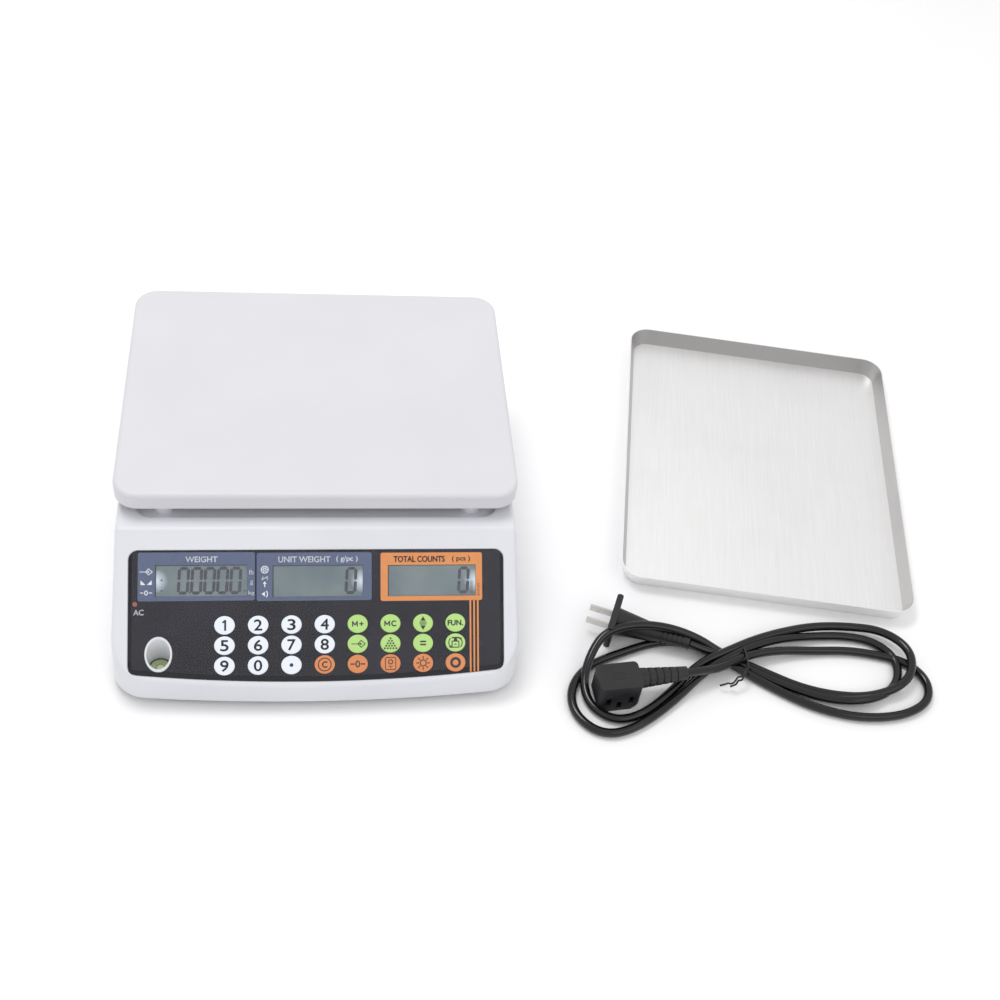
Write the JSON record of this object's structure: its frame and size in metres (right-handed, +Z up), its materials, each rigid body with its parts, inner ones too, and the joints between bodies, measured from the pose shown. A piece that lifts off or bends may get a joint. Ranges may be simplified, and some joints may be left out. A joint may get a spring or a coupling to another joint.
{
  "type": "counting scale",
  "caption": "Bench counting scale with a flat platter, a sloping keypad with displays, a steel pan and a tied mains lead.",
  "frame": {"origin": "on the table, in the middle of the box round the scale and its steel pan", "axes": "+X to the reader's right, from the scale towards its pan; +Y away from the reader; +Z up"},
  "size_m": [0.6788, 0.4475, 0.115],
  "materials": {
    "housing_plastic": "pale grey moulded ABS, fine satin texture",
    "platter_plastic": "white moulded ABS, fine satin texture",
    "overlay_film": "printed polyester film, glossy",
    "clear_window": "clear window of the film",
    "lamp_lens": "tinted lamp lens, unlit",
    "display_glass": "reflective display with dark segments",
    "circuit_board": "green solder mask",
    "level_glass": "tinted fluid under a clear dome",
    "base_plastic": "grey moulded ABS",
    "aluminium": "milled",
    "cast_frame": "die-cast",
    "black_rubber": "soft black rubber",
    "foot_plastic": "black moulded nylon",
    "battery_case": "sealed lead battery case",
    "iron_core": "varnished laminations",
    "black_plastic": "black PVC moulding",
    "nickel_pins": "nickel-plated brass",
    "steel_screws": "zinc-plated steel",
    "pan_steel": "brushed stainless sheet",
    "cord_sheath": "black PVC sheath",
    "key_white": "printed white key",
    "key_green": "printed green key",
    "key_orange": "printed orange key"
  },
  "bodies": {
    "root": {"upper_housing": "housing_plastic", "keypad_overlay": "overlay_film", "display_windows": "clear_window", "charge_lamp": "lamp_lens", "displays": "display_glass", "display_board": "circuit_board", "keypad_board": "circuit_board", "level_well": "housing_plastic", "bubble_level": "level_glass", "lower_base": "base_plastic", "cell_spacer": "aluminium", "load_cell": "aluminium", "upper_post": "aluminium", "platter_spider": "cast_frame", "platter_cushions": "black_rubber", "battery": "battery_case", "battery_lid": "base_plastic", "transformer": "iron_core", "mains_inlet": "black_plastic", "inlet_pins": "nickel_pins", "screws": "steel_screws"},
    "platter": {"platter": "platter_plastic"},
    "steel_pan": {"steel_pan": "pan_steel"},
    "mains_lead": {"lead_hank": "cord_sheath", "twist_tie": "black_plastic", "appliance_connector": "black_plastic", "mains_plug": "black_plastic", "plug_blades": "nickel_pins"},
    "foot_pad_front_left": {"foot_pad_front_left": "black_rubber"},
    "foot_screw_front_left": {"foot_screw_front_left": "foot_plastic"},
    "foot_pad_front_right": {"foot_pad_front_right": "black_rubber"},
    "foot_screw_front_right": {"foot_screw_front_right": "foot_plastic"},
    "foot_pad_back_left": {"foot_pad_back_left": "black_rubber"},
    "foot_screw_back_left": {"foot_screw_back_left": "foot_plastic"},
    "foot_pad_back_right": {"foot_pad_back_right": "black_rubber"},
    "foot_screw_back_right": {"foot_screw_back_right": "foot_plastic"},
    "key_1": {"key_1": "key_white"},
    "key_2": {"key_2": "key_white"},
    "key_3": {"key_3": "key_white"},
    "key_4": {"key_4": "key_white"},
    "key_memory_add": {"key_memory_add": "key_green"},
    "key_memory_clear": {"key_memory_clear": "key_green"},
    "key_select": {"key_select": "key_green"},
    "key_function": {"key_function": "key_green"},
    "key_5": {"key_5": "key_white"},
    "key_6": {"key_6": "key_white"},
    "key_7": {"key_7": "key_white"},
    "key_8": {"key_8": "key_white"},
    "key_tare": {"key_tare": "key_green"},
    "key_sample": {"key_sample": "key_green"},
    "key_equals": {"key_equals": "key_green"},
    "key_check_weight": {"key_check_weight": "key_green"},
    "key_9": {"key_9": "key_white"},
    "key_0": {"key_0": "key_white"},
    "key_point": {"key_point": "key_white"},
    "key_clear": {"key_clear": "key_orange"},
    "key_zero": {"key_zero": "key_orange"},
    "key_print": {"key_print": "key_orange"},
    "key_backlight": {"key_backlight": "key_orange"},
    "key_power": {"key_power": "key_orange"}
  },
  "joints": [
    {"name": "platter_lift", "type": "slide", "parent": "root", "child": "platter", "axis": [0, 0, 1], "range_m": [0, 0.06]},
    {"name": "pan_lift", "type": "slide", "parent": "root", "child": "steel_pan", "axis": [0, 0, 1], "range_m": [0, 0.08]},
    {"name": "lead_slide", "type": "slide", "parent": "root", "child": "mains_lead", "axis": [0, -1, 0], "range_m": [0, 0.06]},
    {"name": "foot_rise_front_left", "type": "slide", "parent": "root", "child": "foot_pad_front_left", "axis": [0, 0, 1], "range_m": [0, 0.003]},
    {"name": "foot_turn_front_left", "type": "hinge", "parent": "foot_pad_front_left", "child": "foot_screw_front_left", "pos_m": [-0.3091, -0.16248, 0.006], "axis": [0, 0, 1], "range_deg": [0, 1080]},
    {"name": "foot_rise_front_right", "type": "slide", "parent": "root", "child": "foot_pad_front_right", "axis": [0, 0, 1], "range_m": [0, 0.003]},
    {"name": "foot_turn_front_right", "type": "hinge", "parent": "foot_pad_front_right", "child": "foot_screw_front_right", "pos_m": [-0.0731, -0.16248, 0.006], "axis": [0, 0, 1], "range_deg": [0, 1080]},
    {"name": "foot_rise_back_left", "type": "slide", "parent": "root", "child": "foot_pad_back_left", "axis": [0, 0, 1], "range_m": [0, 0.003]},
    {"name": "foot_turn_back_left", "type": "hinge", "parent": "foot_pad_back_left", "child": "foot_screw_back_left", "pos_m": [-0.3091, 0.09752, 0.006], "axis": [0, 0, 1], "range_deg": [0, 1080]},
    {"name": "foot_rise_back_right", "type": "slide", "parent": "root", "child": "foot_pad_back_right", "axis": [0, 0, 1], "range_m": [0, 0.003]},
    {"name": "foot_turn_back_right", "type": "hinge", "parent": "foot_pad_back_right", "child": "foot_screw_back_right", "pos_m": [-0.0731, 0.09752, 0.006], "axis": [0, 0, 1], "range_deg": [0, 1080]},
    {"name": "press_1", "type": "slide", "parent": "root", "child": "key_1", "axis": [0, 0.6266, -0.7793], "range_m": [0, 0.00035], "stiffness_N_per_m": 3000},
    {"name": "press_2", "type": "slide", "parent": "root", "child": "key_2", "axis": [0, 0.6266, -0.7793], "range_m": [0, 0.00035], "stiffness_N_per_m": 3000},
    {"name": "press_3", "type": "slide", "parent": "root", "child": "key_3", "axis": [0, 0.6266, -0.7793], "range_m": [0, 0.00035], "stiffness_N_per_m": 3000},
    {"name": "press_4", "type": "slide", "parent": "root", "child": "key_4", "axis": [0, 0.6266, -0.7793], "range_m": [0, 0.00035], "stiffness_N_per_m": 3000},
    {"name": "press_memory_add", "type": "slide", "parent": "root", "child": "key_memory_add", "axis": [0, 0.6266, -0.7793], "range_m": [0, 0.00035], "stiffness_N_per_m": 3000},
    {"name": "press_memory_clear", "type": "slide", "parent": "root", "child": "key_memory_clear", "axis": [0, 0.6266, -0.7793], "range_m": [0, 0.00035], "stiffness_N_per_m": 3000},
    {"name": "press_select", "type": "slide", "parent": "root", "child": "key_select", "axis": [0, 0.6266, -0.7793], "range_m": [0, 0.00035], "stiffness_N_per_m": 3000},
    {"name": "press_function", "type": "slide", "parent": "root", "child": "key_function", "axis": [0, 0.6266, -0.7793], "range_m": [0, 0.00035], "stiffness_N_per_m": 3000},
    {"name": "press_5", "type": "slide", "parent": "root", "child": "key_5", "axis": [0, 0.6266, -0.7793], "range_m": [0, 0.00035], "stiffness_N_per_m": 3000},
    {"name": "press_6", "type": "slide", "parent": "root", "child": "key_6", "axis": [0, 0.6266, -0.7793], "range_m": [0, 0.00035], "stiffness_N_per_m": 3000},
    {"name": "press_7", "type": "slide", "parent": "root", "child": "key_7", "axis": [0, 0.6266, -0.7793], "range_m": [0, 0.00035], "stiffness_N_per_m": 3000},
    {"name": "press_8", "type": "slide", "parent": "root", "child": "key_8", "axis": [0, 0.6266, -0.7793], "range_m": [0, 0.00035], "stiffness_N_per_m": 3000},
    {"name": "press_tare", "type": "slide", "parent": "root", "child": "key_tare", "axis": [0, 0.6266, -0.7793], "range_m": [0, 0.00035], "stiffness_N_per_m": 3000},
    {"name": "press_sample", "type": "slide", "parent": "root", "child": "key_sample", "axis": [0, 0.6266, -0.7793], "range_m": [0, 0.00035], "stiffness_N_per_m": 3000},
    {"name": "press_equals", "type": "slide", "parent": "root", "child": "key_equals", "axis": [0, 0.6266, -0.7793], "range_m": [0, 0.00035], "stiffness_N_per_m": 3000},
    {"name": "press_check_weight", "type": "slide", "parent": "root", "child": "key_check_weight", "axis": [0, 0.6266, -0.7793], "range_m": [0, 0.00035], "stiffness_N_per_m": 3000},
    {"name": "press_9", "type": "slide", "parent": "root", "child": "key_9", "axis": [0, 0.6266, -0.7793], "range_m": [0, 0.00035], "stiffness_N_per_m": 3000},
    {"name": "press_0", "type": "slide", "parent": "root", "child": "key_0", "axis": [0, 0.6266, -0.7793], "range_m": [0, 0.00035], "stiffness_N_per_m": 3000},
    {"name": "press_point", "type": "slide", "parent": "root", "child": "key_point", "axis": [0, 0.6266, -0.7793], "range_m": [0, 0.00035], "stiffness_N_per_m": 3000},
    {"name": "press_clear", "type": "slide", "parent": "root", "child": "key_clear", "axis": [0, 0.6266, -0.7793], "range_m": [0, 0.00035], "stiffness_N_per_m": 3000},
    {"name": "press_zero", "type": "slide", "parent": "root", "child": "key_zero", "axis": [0, 0.6266, -0.7793], "range_m": [0, 0.00035], "stiffness_N_per_m": 3000},
    {"name": "press_print", "type": "slide", "parent": "root", "child": "key_print", "axis": [0, 0.6266, -0.7793], "range_m": [0, 0.00035], "stiffness_N_per_m": 3000},
    {"name": "press_backlight", "type": "slide", "parent": "root", "child": "key_backlight", "axis": [0, 0.6266, -0.7793], "range_m": [0, 0.00035], "stiffness_N_per_m": 3000},
    {"name": "press_power", "type": "slide", "parent": "root", "child": "key_power", "axis": [0, 0.6266, -0.7793], "range_m": [0, 0.00035], "stiffness_N_per_m": 3000}
  ],
  "couplings": [
    {"joint": "foot_turn_front_left", "follows": "foot_rise_front_left", "rad_per_m": 6283.2},
    {"joint": "foot_turn_front_right", "follows": "foot_rise_front_right", "rad_per_m": 6283.2},
    {"joint": "foot_turn_back_left", "follows": "foot_rise_back_left", "rad_per_m": 6283.2},
    {"joint": "foot_turn_back_right", "follows": "foot_rise_back_right", "rad_per_m": 6283.2}
  ]
}
